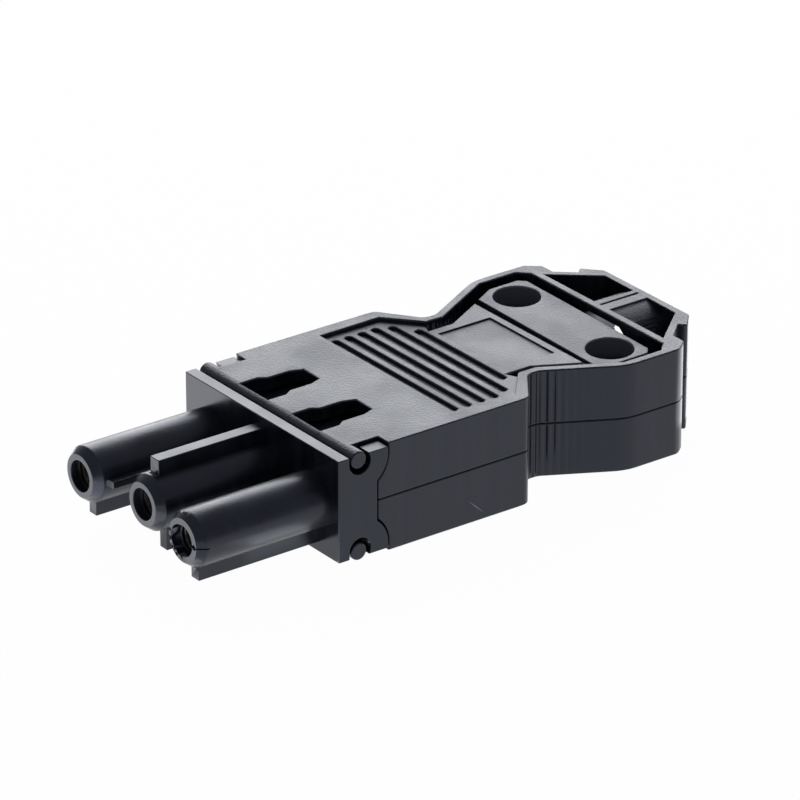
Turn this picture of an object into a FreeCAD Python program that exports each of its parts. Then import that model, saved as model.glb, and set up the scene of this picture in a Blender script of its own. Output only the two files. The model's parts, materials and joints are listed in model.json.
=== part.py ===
"""Three-pole installation connector, socket half, with two hinged half shells. Lengths in millimetres.

Every piece is drawn in the connector's own frame: X across the poles, Y from the mating face (0) towards
the cable, Z up from the parting plane, which holds the three socket axes. Each piece's Placement then stands
the connector on its lower shell, with the origin under the middle of its length.
"""

import FreeCAD, Part
import math
import os

import Sketcher

# Driving dimensions
SIZES = {
    # poles and front plate
    "pole_pitch": 10.0,
    "plate_margin": 4.7,
    "plate_step": 0.42,
    "plate_thickness": 2.0,
    # socket contacts and their springs
    "contact_inner_diameter": 3.0,
    "contact_wall": 0.5,
    "contact_tip_gap": 0.2,
    "contact_blind_y": 1.0,
    "contact_slot": 0.5,
    "contact_slot_length": 8.0,
    "spring_wall": 0.25,
    "spring_room": 0.15,
    "spring_front": 1.0,
    "spring_length": 5.0,
    "spring_slit": 0.8,
    "fit_gap": 0.05,
    # sleeves and their ribs
    "sleeve_wall": 0.9,
    "sleeve_length": 17.6,
    "centre_setback": 1.57,
    "sleeve_nose": 0.75,
    "sleeve_nose_length": 1.0,
    "pin_hole_ease": 0.35,
    "tip_wall": 1.3,
    "key_rib_width": 1.4,
    "key_rib_setback": 1.6,
    "key_rib_drop": 1.8,
    "centre_rib_setback": 2.7,
    "bar_width": 1.65,
    "bar_height": 1.8,
    "bar_setback": 1.7,
    "side_rib_width": 0.9,
    "side_rib_height": 0.95,
    # hinges between carrier and shells
    "bead_diameter": 2.1,
    "bead_offset": 0.85,
    "bead_clearance": 0.4,
    "bead_play": 0.1,
    "bead_sink": 0.22,
    "bead_wall": 0.2,
    "arm_thickness": 1.9,
    "arm_reach": 2.45,
    "arm_radius": 3.95,
    "swing_gap": 0.2,
    # terminal block and clamps
    "block_side_gap": 0.35,
    "block_roof_gap": 0.35,
    "block_wall": 0.5,
    "chamber_roof": 0.95,
    "chamber_floor": 0.75,
    "wire_entry_length": 2.6,
    "screw_access_ease": 0.2,
    "flange_thickness": 1.2,
    "flange_top": 2.3,
    "tongue_thickness": 1.1,
    "tongue_overhang": 0.6,
    "cage_setback": 0.6,
    "cage_length": 6.0,
    "cage_wall": 0.6,
    "cage_top_wall": 1.6,
    "guard_thickness": 0.35,
    "guard_drop": 0.8,
    "guard_hook": 1.4,
    "guard_overhang": 0.8,
    "guard_lip": 0.8,
    "terminal_screw_diameter": 2.5,
    "terminal_screw_head": 3.2,
    "terminal_screw_head_height": 0.9,
    "driver_slot": 0.6,
    "driver_slot_depth": 0.5,
    "driver_cross": 3.5,
    "driver_cross_depth": 0.9,
    # half shells in plan
    "shell_inset": 0.1,
    "shell_height": 13.3,
    "shell_wall": 1.1,
    "shell_roof": 1.7,
    "shoulder_y": 26.4,
    "shoulder_run": 3.6,
    "neck_waist": 4.9,
    "neck_length": 1.6,
    "flare_run": 9.0,
    "head_length": 9.3,
    "head_rear_wall": 2.4,
    "head_corner": 1.5,
    "rim_corner": 1.3,
    "shoulder_round": 1.2,
    "neck_round": 1.4,
    "flare_round": 6.0,
    # sunk grip field and its grooves
    "recess_length": 8.9,
    "recess_depth": 0.5,
    "groove_setback": 0.92,
    "groove_pitch": 1.88,
    "groove_width": 1.0,
    "groove_depth": 0.45,
    "groove_side_margin": 1.9,
    "groove_slant_margin": 3.3,
    # latch windows
    "window_advance": 0.25,
    "window_width": 5.4,
    "window_wide_length": 2.5,
    "window_step_length": 0.95,
    "window_neck_width": 4.1,
    "window_neck_length": 3.0,
    "window_tip_width": 3.0,
    "window_tip_length": 1.5,
    # strain-relief tongue and label field
    "tongue_gap": 1.3,
    "tongue_rear_gap": 1.5,
    "flap_drop": 0.15,
    "tongue_corner": 0.9,
    "film_hinge_setback": 2.5,
    "film_hinge_width": 0.9,
    "film_hinge_depth": 0.6,
    "label_side_margin": 1.3,
    "label_setback": 1.4,
    "label_length": 7.5,
    "label_depth": 0.2,
    "clamp_rib_setback": 2.3,
    "clamp_rib_width": 11.0,
    "clamp_rib_thickness": 1.2,
    "clamp_rib_drop": 1.0,
    # housing screws, their tubes and bosses
    "screw_setback": 7.25,
    "screw_hole_diameter": 5.6,
    "tube_wall": 0.5,
    "tube_edge": 0.25,
    "tube_end": 0.5,
    "tube_floor": 1.0,
    "housing_screw_diameter": 3.0,
    "housing_screw_head_gap": 0.3,
    "housing_screw_head_height": 1.6,
    "housing_screw_length": 5.1,
    "housing_screw_gap": 0.15,
    "housing_screw_swing": 1.0,
    "housing_screw_swing_front": 0.3,
    "boss_wall": 1.35,
    "boss_top": 0.8,
    "boss_tip_room": 0.5,
    # cable channel and rear collar
    "arch_drop": 0.1,
    "arch_wall": 0.95,
    "mouth_flare": 1.55,
    "mouth_length": 1.3,
    "mouth_roof": 1.0,
    "collar_length": 5.1,
    "collar_wall": 1.0,
    "collar_rim": 1.0,
    "collar_floor": 1.0,
    "collar_root_inset": 1.9,
    "collar_slant": 0.84,
    "collar_lip": 0.8,
    "collar_lip_length": 2.8,
    "collar_corner": 0.6,
    "collar_divider": 2.6,
    "divider_slot": 0.3,
    "divider_slot_offset": 0.4,
    "divider_slot_depth": 0.4,
}

GROOVE_COUNT = 6

# Share of a groove's half width that its end chamfers take
GROOVE_END_CHAMFER = 0.6

POLES = {"left": -1, "centre": 0, "right": 1}
SIDES = {"left": -1, "right": 1}
LEVELS = {"upper": 1, "lower": -1}

# How far a fused feature reaches into its neighbour, and a cutter past the face that it opens
OVERLAP = 0.5
OVERCUT = 1.0

# How close an edge must lie to a place to count as standing there
NEAR = 0.01

# Share of a length that lies along each axis when it leans at 45 degrees, and by which such a bend
# shortens the inside of a leaf, per thickness
DIAGONAL = math.sqrt(0.5)
BEND_INSIDE = math.sqrt(2) - 1

doc = FreeCAD.newDocument("installation_connector")
sheet = doc.addObject("Spreadsheet::Sheet", "Sizes")
for row, (alias, number) in enumerate(SIZES.items(), start=1):
    sheet.set(f"A{row}", alias)
    sheet.set(f"B{row}", str(number))
    sheet.setAlias(f"B{row}", alias)
doc.recompute()


class Size:
    """A length with its value now and the sheet formula that keeps it current."""

    def __init__(self, value, text):
        self.value = value
        self.text = text

    def __add__(self, other):
        other = as_size(other)
        return Size(self.value + other.value, f"({self.text} + {other.text})")

    def __radd__(self, other):
        return as_size(other) + self

    def __sub__(self, other):
        other = as_size(other)
        return Size(self.value - other.value, f"({self.text} - {other.text})")

    def __rsub__(self, other):
        return as_size(other) - self

    def __mul__(self, other):
        other = as_size(other)
        return Size(self.value * other.value, f"({self.text} * {other.text})")

    def __rmul__(self, other):
        return as_size(other) * self

    def __truediv__(self, other):
        other = as_size(other)
        return Size(self.value / other.value, f"({self.text} / {other.text})")

    def __neg__(self):
        return Size(-self.value, f"(0 - {self.text})")


def as_size(number):
    """A plain number as a constant size; a size as it is."""
    return number if isinstance(number, Size) else Size(float(number), f"({float(number)})")


def root(size):
    """Square root of a size's number."""
    return Size(math.sqrt(size.value), f"sqrt({size.text})")


def lesser(one, other):
    """The smaller of two sizes."""
    return Size(min(one.value, other.value), f"min({one.text}; {other.text})")


def size(alias):
    """The driving dimension of that name."""
    return Size(float(sheet.get(alias)), f"Sizes.{alias}")


def bind(feature, path, value):
    """Tie one property of a feature to the sheet."""
    feature.setExpression(path, as_size(value).text)


class Round:
    """A full circle in a sketch."""

    def __init__(self, centre, diameter):
        self.centre = centre
        self.diameter = as_size(diameter)


class Stadium:
    """A slot with round ends in a sketch, from one end's centre to the other's."""

    def __init__(self, first, second, width):
        self.first = first
        self.second = second
        self.width = as_size(width)


def place(point):
    """A sketch point's place now."""
    return FreeCAD.Vector(as_size(point[0]).value, as_size(point[1]).value, 0)


def pin(sketch, geometry, vertex, point):
    """Hold one vertex of a sketch at a point measured from the sketch's origin."""
    for kind, line, value in (("DistanceX", -2, point[0]), ("DistanceY", -1, point[1])):
        if isinstance(value, Size):
            index = sketch.addConstraint(Sketcher.Constraint(kind, -1, 1, geometry, vertex, value.value))
            sketch.setExpression(f"Constraints[{index}]", value.text)
        else:
            sketch.addConstraint(Sketcher.Constraint("PointOnObject", geometry, vertex, line))


def draw_polygon(sketch, points):
    """Closed outline with every corner tied to the sheet."""
    first = sketch.GeometryCount
    count = len(points)
    for index, point in enumerate(points):
        following = points[(index + 1) % count]
        sketch.addGeometry(Part.LineSegment(place(point), place(following)))
    for index in range(count):
        following = first + (index + 1) % count
        sketch.addConstraint(Sketcher.Constraint("Coincident", first + index, 2, following, 1))
    for index, point in enumerate(points):
        pin(sketch, first + index, 1, point)


def draw_round(sketch, shape):
    """Circle tied to the sheet."""
    radius = shape.diameter / 2
    circle = Part.Circle(place(shape.centre), FreeCAD.Vector(0, 0, 1), radius.value)
    geometry = sketch.addGeometry(circle)
    pin(sketch, geometry, 3, shape.centre)
    index = sketch.addConstraint(Sketcher.Constraint("Radius", geometry, radius.value))
    sketch.setExpression(f"Constraints[{index}]", radius.text)


def draw_stadium(sketch, shape):
    """Two half circles joined by tangent lines, tied to the sheet."""
    radius = shape.width / 2
    start = place(shape.first)
    end = place(shape.second)
    heading = math.atan2(end.y - start.y, end.x - start.x)
    across = FreeCAD.Vector(-math.sin(heading), math.cos(heading), 0) * radius.value
    up = FreeCAD.Vector(0, 0, 1)
    right = heading - math.pi / 2
    left = heading + math.pi / 2
    first_end = Part.ArcOfCircle(Part.Circle(start, up, radius.value), left, left + math.pi)
    second_end = Part.ArcOfCircle(Part.Circle(end, up, radius.value), right, left)
    arc_one = sketch.addGeometry(first_end)
    line_one = sketch.addGeometry(Part.LineSegment(start - across, end - across))
    arc_two = sketch.addGeometry(second_end)
    line_two = sketch.addGeometry(Part.LineSegment(end + across, start + across))
    ring = (arc_one, line_one, arc_two, line_two)
    for index, geometry in enumerate(ring):
        sketch.addConstraint(Sketcher.Constraint("Tangent", geometry, 2, ring[(index + 1) % 4], 1))
    sketch.addConstraint(Sketcher.Constraint("Equal", arc_one, arc_two))
    pin(sketch, arc_one, 3, shape.first)
    pin(sketch, arc_two, 3, shape.second)
    index = sketch.addConstraint(Sketcher.Constraint("Radius", arc_one, radius.value))
    sketch.setExpression(f"Constraints[{index}]", radius.text)


def new_sketch(body, name, plane, loops, offset):
    """Sketch of closed loops on one of the body's own origin planes, moved by offset in the sketch's axes."""
    sketch = body.newObject("Sketcher::SketchObject", name)
    support = [feature for feature in body.Origin.OriginFeatures if feature.Role == f"{plane}_Plane"]
    sketch.AttachmentSupport = [(support[0], "")]
    sketch.MapMode = "FlatFace"
    for axis, value in zip("xyz", offset):
        if isinstance(value, Size):
            bind(sketch, f"AttachmentOffset.Base.{axis}", value)
    for loop in loops:
        if isinstance(loop, Round):
            draw_round(sketch, loop)
        elif isinstance(loop, Stadium):
            draw_stadium(sketch, loop)
        else:
            draw_polygon(sketch, loop)
    return sketch


def add_feature(body, kind, name, sketch):
    """One sketch-based feature at the end of the body."""
    feature = body.newObject(f"PartDesign::{kind}", name)
    feature.Profile = sketch
    sketch.Visibility = False
    return feature


def settle(body, volume_before, removes):
    """Recompute, and stop if the newest feature left the volume on the wrong side of what it was."""
    doc.recompute()
    volume = body.Tip.Shape.Volume
    if (volume < volume_before) != removes or volume == volume_before:
        change = f"changed the volume from {volume_before} to {volume}"
        raise RuntimeError(f"{body.Label}: {body.Tip.Name} {change}")


def volume_of(body):
    """The body's volume so far."""
    return body.Tip.Shape.Volume if body.Tip else 0.0


def prism(body, name, plane, loops, start, end, cut=False):
    """Straight-sided feature over the loops, from start to end along the axis that the plane leaves out."""
    before = volume_of(body)
    start = as_size(start)
    length = as_size(end) - start
    along_y = plane == "XZ"
    level = -start if along_y else start
    sketch = new_sketch(body, f"{name}_outline", plane, loops, (0, 0, level))
    feature = add_feature(body, "Pocket" if cut else "Pad", name, sketch)
    bind(feature, "Length", length)
    feature.Reversed = along_y != cut
    settle(body, before, cut)


def turned(body, name, plane, profile, axis_x, level=0, cut=False):
    """Feature turned about the sketch's upright axis, which stands at axis_x."""
    before = volume_of(body)
    sketch = new_sketch(body, f"{name}_profile", plane, [profile], (axis_x, 0, level))
    feature = add_feature(body, "Groove" if cut else "Revolution", name, sketch)
    feature.ReferenceAxis = (sketch, ["V_Axis"])
    feature.Angle = 360
    settle(body, before, cut)


def rounded(body, name, radius, chosen):
    """Fillet on the edges of the body that the chosen function picks."""
    before = volume_of(body)
    tip = body.Tip
    edges = [f"Edge{index}" for index, edge in enumerate(tip.Shape.Edges, start=1) if chosen(edge)]
    feature = body.newObject("PartDesign::Fillet", name)
    feature.Base = (tip, edges)
    bind(feature, "Radius", radius)
    doc.recompute()
    if not edges or volume_of(body) == before:
        raise RuntimeError(f"{body.Label}: {name} rounded nothing")


def box_loop(left, right, low, high):
    """Rectangle as a loop of four corners."""
    return [(left, low), (right, low), (right, high), (left, high)]


def both_sides(half):
    """Closed symmetric loop from its right-hand half, listed from front to rear."""
    mirrored = [(-x, y) for x, y in reversed(half)]
    return half + mirrored


# Values that several pieces share: widths and heights
plate_half = size("pole_pitch") + size("plate_margin")
shell_half = plate_half - size("shell_inset")
shell_top = size("shell_height") / 2
plate_top = shell_top - size("plate_step")
roof_inside = shell_top - size("shell_roof")
recess_floor = shell_top - size("recess_depth")
arch_r = shell_top - size("arch_drop")
channel_r = arch_r - size("arch_wall")
neck_half = shell_half - size("neck_waist")
arm_inside = plate_half - size("arm_thickness")
block_half = shell_half - size("shell_wall") - size("block_side_gap")
block_top = roof_inside - size("block_roof_gap")
chamber_half = block_half - size("block_wall") - size("pole_pitch")
chamber_top = block_top - size("chamber_roof")
chamber_bottom = size("chamber_floor") - block_top
cage_half = chamber_half - size("fit_gap")
cage_top = chamber_top - size("fit_gap")
cage_bottom = chamber_bottom + size("fit_gap")
clamp_half = cage_half - size("cage_wall")
clamp_roof = cage_top - size("cage_top_wall")
tongue_half = clamp_half - 2 * size("fit_gap")
tongue_bottom = cage_bottom + size("cage_wall") + size("fit_gap")
guard_top = clamp_roof - size("guard_drop")
tube_half = size("screw_hole_diameter") / 2 + size("tube_wall")
screw_half = shell_half - size("shell_wall") - size("tongue_gap") - size("tube_edge") - tube_half
screw_room = size("housing_screw_diameter") + 2 * size("housing_screw_gap")
seat_z = size("tube_end") + size("tube_floor")

# Diameters from the contact outwards
contact_r = size("contact_inner_diameter") / 2
contact_outer_r = contact_r + size("contact_wall")
spring_r = contact_outer_r + size("fit_gap")
spring_outer_r = spring_r + size("spring_wall")
bore_r = spring_outer_r + size("spring_room")
sleeve_r = bore_r + size("sleeve_wall")
pin_hole_r = contact_r + size("pin_hole_ease")

# Places along the length
bead_y = size("plate_thickness") + size("bead_offset")
bead_z = shell_top - size("bead_diameter") / 2
arm_end_y = bead_y + size("arm_reach")
bead_groove_r = size("bead_diameter") / 2 + size("bead_clearance")
bead_groove_y = bead_y + size("bead_play")
bead_groove_z = bead_z - size("bead_sink")
chamber_front_y = bead_groove_y + bead_groove_r + size("bead_wall")
cage_front_y = chamber_front_y + size("flange_thickness") + size("cage_setback")
cage_rear_y = cage_front_y + size("cage_length")
block_end_y = cage_rear_y + size("wire_entry_length")
terminal_screw_y = (cage_front_y + cage_rear_y) / 2
neck_front_y = size("shoulder_y") + size("shoulder_run")
neck_rear_y = neck_front_y + size("neck_length")
flare_y = neck_rear_y + size("flare_run")
head_end_y = flare_y + size("head_length")
head_inside_y = head_end_y - size("head_rear_wall")
recess_front_y = size("shoulder_y") - size("recess_length")
film_hinge_y = flare_y - size("film_hinge_setback")
screw_y = head_end_y - size("screw_setback")
collar_end_y = head_end_y + size("collar_length")
pocket_front_y = head_inside_y + size("collar_rim")
pocket_rear_y = collar_end_y - size("collar_wall")

# The connector's overall frame: origin under the middle of its length, on the table
frame_y = (size("sleeve_length") - collar_end_y) / 2
frame_z = shell_top


def pole_x(pole):
    """Place of a pole across the connector."""
    return size("pole_pitch") * POLES[pole]


def sleeve_tip_y(pole):
    """Front end of a pole's sleeve: the centre one is set back."""
    if pole == "centre":
        return size("centre_setback") - size("sleeve_length")
    return -size("sleeve_length")


def contact_tip_y(pole):
    """Front end of a pole's contact, behind the wall at the sleeve's tip."""
    return sleeve_tip_y(pole) + size("tip_wall") + size("contact_tip_gap")


def new_body(label, upside_down=False):
    """Empty body that stands in the connector's overall frame, turned over about its length if asked."""
    body = doc.addObject("PartDesign::Body", label)
    body.Label = label
    if upside_down:
        body.Placement.Rotation = FreeCAD.Rotation(FreeCAD.Vector(0, 1, 0), 180)
    bind(body, "Placement.Base.y", frame_y)
    bind(body, "Placement.Base.z", frame_z)
    return body


def make_carrier():
    """Front plate, sleeves, hinge arms and terminal block in one moulding."""
    body = new_body("contact_carrier")
    plate = box_loop(-plate_half, plate_half, -plate_top, plate_top)
    prism(body, "plate", "XZ", [plate], 0, size("plate_thickness"))

    # Side arms: a straight web, with a hook round each hinge bead
    hook_width = 2 * size("arm_radius")
    for side, sign in SIDES.items():
        start = arm_inside if sign > 0 else -plate_half
        end = start + size("arm_thickness")
        web = box_loop(as_size(OVERLAP), arm_end_y, -plate_top, plate_top)
        prism(body, f"arm_{side}", "YZ", [web], start, end)
        for level, up in LEVELS.items():
            hook = Round((bead_y, bead_z * up), hook_width)
            prism(body, f"hook_{level}_{side}", "YZ", [hook], start, end)
    left_end = -plate_half - OVERCUT
    right_end = plate_half + OVERCUT
    in_front = box_loop(-hook_width, 0, -hook_width * 2, hook_width * 2)
    prism(body, "trim_front", "YZ", [in_front], left_end, right_end, cut=True)
    for level, up in LEVELS.items():
        low = plate_top if up > 0 else -plate_top - hook_width
        spare = box_loop(-hook_width, hook_width * 2, low, low + hook_width)
        prism(body, f"trim_{level}", "YZ", [spare], left_end, right_end, cut=True)

    # Terminal block, then the round grooves in which the beads of both shells turn
    block = box_loop(-block_half, block_half, -block_top, block_top)
    prism(body, "block", "XZ", [block], size("plate_thickness") - OVERLAP, block_end_y)
    for level, up in LEVELS.items():
        groove = Round((bead_groove_y, bead_groove_z * up), 2 * bead_groove_r)
        prism(body, f"bead_groove_{level}", "YZ", [groove], left_end, right_end, cut=True)
        low = bead_groove_z if up > 0 else -plate_top - OVERCUT
        high = low + plate_top + OVERCUT - bead_groove_z
        mouth = box_loop(bead_groove_y - bead_groove_r, bead_groove_y, low, high)
        prism(body, f"bead_mouth_{level}", "YZ", [mouth], left_end, right_end, cut=True)

    # Sleeves with a conical nose, and their ribs: the centre one is deeper and starts further back
    rib_half = size("key_rib_width") / 2
    for pole in POLES:
        x = pole_x(pole)
        tip = sleeve_tip_y(pole)
        profile = [
            (0, tip),
            (sleeve_r - size("sleeve_nose"), tip),
            (sleeve_r, tip + size("sleeve_nose_length")),
            (sleeve_r, as_size(OVERLAP)),
            (0, as_size(OVERLAP)),
        ]
        turned(body, f"sleeve_{pole}", "XY", profile, x)
        centred = pole == "centre"
        rib_bottom = -plate_top if centred else -sleeve_r - size("key_rib_drop")
        rib_setback = size("centre_rib_setback" if centred else "key_rib_setback")
        rib = box_loop(x - rib_half, x + rib_half, rib_bottom, -sleeve_r / 2)
        prism(body, f"key_rib_{pole}", "XZ", [rib], tip + rib_setback, OVERLAP)
    bar_half = size("bar_width") / 2
    bar = box_loop(-bar_half, bar_half, sleeve_r / 2, sleeve_r + size("bar_height"))
    prism(body, "top_bar", "XZ", [bar], sleeve_tip_y("centre") + size("bar_setback"), OVERLAP)
    side_rib_half = size("side_rib_width") / 2
    left_x = pole_x("left")
    side_rib_end = left_x + sleeve_r + size("side_rib_height")
    side_rib = box_loop(left_x + sleeve_r / 2, side_rib_end, -side_rib_half, side_rib_half)
    prism(body, "side_rib", "XZ", [side_rib], sleeve_tip_y("left") + size("key_rib_setback"), OVERLAP)

    # Contact bores with the smaller pin hole at the tip, terminal chambers and screw access
    bore_end = chamber_front_y + OVERLAP
    access_width = size("terminal_screw_head") + 2 * size("screw_access_ease")
    for pole in POLES:
        x = pole_x(pole)
        tip = sleeve_tip_y(pole)
        bore_front = tip + size("tip_wall")
        profile = [
            (0, tip - OVERCUT),
            (pin_hole_r, tip - OVERCUT),
            (pin_hole_r, bore_front),
            (bore_r, bore_front),
            (bore_r, bore_end),
            (0, bore_end),
        ]
        turned(body, f"bore_{pole}", "XY", profile, x, cut=True)
        chamber = box_loop(x - chamber_half, x + chamber_half, chamber_bottom, chamber_top)
        prism(body, f"chamber_{pole}", "XZ", [chamber], chamber_front_y, block_end_y + OVERCUT, cut=True)
        access = Round((x, terminal_screw_y), access_width)
        prism(body, f"access_{pole}", "XY", [access], chamber_top - OVERLAP, block_top + OVERCUT, cut=True)
    return body


def half_turn(run):
    """Tangent of half the angle at which a wall slants between full width and neck over a run."""
    rise = size("neck_waist")
    return (root(rise * rise + run * run) - run) / rise


def plan_half(inset, front, rear, corner):
    """Right-hand half of the shell's plan, moved inwards by inset, from front to a chamfered rear corner."""
    half = shell_half - inset
    forward = inset * half_turn(size("shoulder_run"))
    backward = inset * half_turn(size("flare_run"))
    outline = [
        (neck_half - inset, neck_front_y - forward),
        (neck_half - inset, neck_rear_y + backward),
        (half, flare_y + backward),
        (half, rear - corner),
        (half - corner, rear),
    ]
    if front is not None:
        outline = [(half, front), (half, size("shoulder_y") - forward)] + outline
    return outline


def flare_half(inset, y):
    """Half width between the flared walls, moved inwards by inset, at a place along the length."""
    start = neck_rear_y + inset * half_turn(size("flare_run"))
    return neck_half - inset + (y - start) * size("neck_waist") / size("flare_run")


def grip_groove(y):
    """Plan of one grip groove with chamfered ends: shorter where the shoulder slants in."""
    inside = shell_half - size("shell_wall")
    slant = inside - (y - size("shoulder_y")) * size("neck_waist") / size("shoulder_run")
    end = lesser(inside - size("groove_side_margin"), slant - size("groove_slant_margin"))
    reach = size("groove_width") / 2
    corner = reach * GROOVE_END_CHAMFER
    low = y - reach
    high = y + reach
    return both_sides([(end - corner, low), (end, low + corner), (end, high - corner), (end - corner, high)])


def collar_side(y):
    """Half width of the rear collar where its sides slant in."""
    root_half = shell_half - size("head_corner") - size("collar_root_inset")
    return root_half - (y - head_end_y) * size("collar_slant")


def collar_half():
    """Right-hand half of the rear collar's plan, with the lip round its rear end."""
    lip = size("collar_lip") * DIAGONAL
    lip_y = collar_end_y - size("collar_lip_length")
    corner_y = collar_end_y - size("collar_corner")
    corner_x = collar_side(corner_y - lip) + lip
    return [
        (collar_side(head_end_y - OVERLAP), head_end_y - OVERLAP),
        (collar_side(lip_y), lip_y),
        (collar_side(lip_y) + lip, lip_y + lip),
        (corner_x, corner_y),
        (corner_x - size("collar_corner"), collar_end_y),
    ]


def collar_pocket(sign):
    """Plan of the cored-out pocket on one side of the collar's divider."""
    wall = size("collar_wall") * root(1 + size("collar_slant") * size("collar_slant"))
    inside = size("collar_divider") / 2
    front_side = collar_side(pocket_front_y) - wall
    rear_side = collar_side(pocket_rear_y) - wall
    front = [(inside, pocket_front_y), (front_side, pocket_front_y)]
    corners = front + [(rear_side, pocket_rear_y), (inside, pocket_rear_y)]
    return [(x * sign, y) for x, y in corners]


def window(centre):
    """Latch window: wide at the hinge, stepped in, then tapering to its rear end."""
    front = bead_y - size("window_advance")
    step = front + size("window_wide_length")
    neck = step + size("window_step_length")
    taper = neck + size("window_neck_length")
    half = [
        (size("window_width") / 2, front),
        (size("window_width") / 2, step),
        (size("window_neck_width") / 2, neck),
        (size("window_neck_width") / 2, taper),
        (size("window_tip_width") / 2, taper + size("window_tip_length")),
    ]
    return [(centre + x, y) for x, y in both_sides(half)]


def bell_mouth(body):
    """Flared inner end of the cable channel, with the rim left whole above it."""
    wide = channel_r + size("mouth_flare")
    rear = head_inside_y + size("mouth_length")
    profile = [(0, head_inside_y), (wide, head_inside_y), (channel_r, rear), (0, rear)]
    turned(body, "bell_mouth", "XY", profile, 0, cut=True)
    roof = box_loop(-wide, wide, head_inside_y, pocket_front_y)
    prism(body, "mouth_roof", "XY", [roof], shell_top - size("mouth_roof"), shell_top)


def make_shell(label, upside_down):
    """What both half shells share: hinge bead, walls, latch windows, grip field and rear collar."""
    body = new_body(label, upside_down)
    outline = both_sides(plan_half(as_size(0), bead_y, head_end_y, size("head_corner")))
    prism(body, "walls", "XY", [outline], 0, shell_top)

    def upright_at(edge, x, y):
        middle = edge.CenterOfMass
        upright = edge.BoundBox.ZLength > shell_top.value / 2
        return upright and abs(abs(middle.x) - x.value) < NEAR and abs(middle.y - y.value) < NEAR

    corners = (
        ("shoulders", "shoulder_round", [(shell_half, size("shoulder_y"))]),
        ("necks", "neck_round", [(neck_half, neck_front_y), (neck_half, neck_rear_y)]),
        ("flares", "flare_round", [(shell_half, flare_y)]),
    )
    for name, radius, places in corners:
        rounded(body, name, size(radius), lambda edge: any(upright_at(edge, x, y) for x, y in places))

    # Rear collar: a frame with two cored-out pockets, over the arch of the cable channel
    prism(body, "collar", "XY", [both_sides(collar_half())], 0, shell_top)
    for side, sign in SIDES.items():
        pocket = collar_pocket(sign)
        floor = size("collar_floor")
        prism(body, f"collar_pocket_{side}", "XY", [pocket], floor, shell_top + OVERCUT, cut=True)
    arch = Round((0, 0), 2 * arch_r)
    prism(body, "arch", "XZ", [arch], head_inside_y + OVERLAP, collar_end_y - OVERLAP)
    slot_left = -size("divider_slot_offset") - size("divider_slot") / 2
    slot = box_loop(slot_left, slot_left + size("divider_slot"), pocket_front_y, pocket_rear_y)
    slot_floor = shell_top - size("divider_slot_depth")
    prism(body, "divider_slot", "XY", [slot], slot_floor, shell_top + OVERCUT, cut=True)
    reach = shell_half + OVERCUT
    below = box_loop(-reach, reach, 0, collar_end_y + OVERCUT)
    prism(body, "parting", "XY", [below], -shell_top, 0, cut=True)

    # Inside: the hollow and the cable channel through the rear wall and the collar
    inset = size("shell_wall")
    hollow = both_sides(plan_half(inset, as_size(-OVERCUT), head_inside_y, size("rim_corner")))
    prism(body, "hollow", "XY", [hollow], -OVERCUT, roof_inside, cut=True)
    channel = Round((0, 0), 2 * channel_r)
    prism(body, "channel", "XZ", [channel], head_inside_y - OVERCUT, collar_end_y + OVERCUT, cut=True)
    bell_mouth(body)

    # Front corners make way for the carrier's arms, then the hinge bead runs right across
    gap = size("swing_gap")
    for side, sign in SIDES.items():
        start = arm_inside - gap if sign > 0 else -plate_half - OVERCUT
        end = start + size("arm_thickness") + gap + OVERCUT
        web = box_loop(0, arm_end_y + gap, as_size(-OVERCUT), shell_top + OVERCUT)
        prism(body, f"arm_room_{side}", "YZ", [web], start, end, cut=True)
        hook = Round((bead_y, bead_z), 2 * (size("arm_radius") + gap))
        prism(body, f"hook_room_{side}", "YZ", [hook], start, end, cut=True)
    bead = Round((bead_y, bead_z), size("bead_diameter"))
    prism(body, "bead", "YZ", [bead], -shell_half, shell_half)

    # Outside: latch windows, sunk grip field and its grooves
    for side, sign in SIDES.items():
        shape = window(size("pole_pitch") / 2 * sign)
        prism(body, f"window_{side}", "XY", [shape], 0, shell_top + OVERCUT, cut=True)
    field = both_sides(plan_half(inset, recess_front_y, head_inside_y, size("rim_corner")))
    prism(body, "grip_field", "XY", [field], recess_floor, shell_top + OVERCUT, cut=True)
    first_groove = recess_front_y + size("groove_setback")
    grooves = [grip_groove(first_groove + size("groove_pitch") * index) for index in range(GROOVE_COUNT)]
    prism(body, "grooves", "XY", grooves, recess_floor - size("groove_depth"), shell_top + OVERCUT, cut=True)
    return body


def cable_rib(body, name, y):
    """Rib across the inside of a shell's roof that grips the cable."""
    half = size("clamp_rib_width") / 2
    reach = size("clamp_rib_thickness") / 2
    rib = box_loop(-half, half, y - reach, y + reach)
    prism(body, name, "XY", [rib], roof_inside - size("clamp_rib_drop"), roof_inside + OVERLAP)


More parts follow.
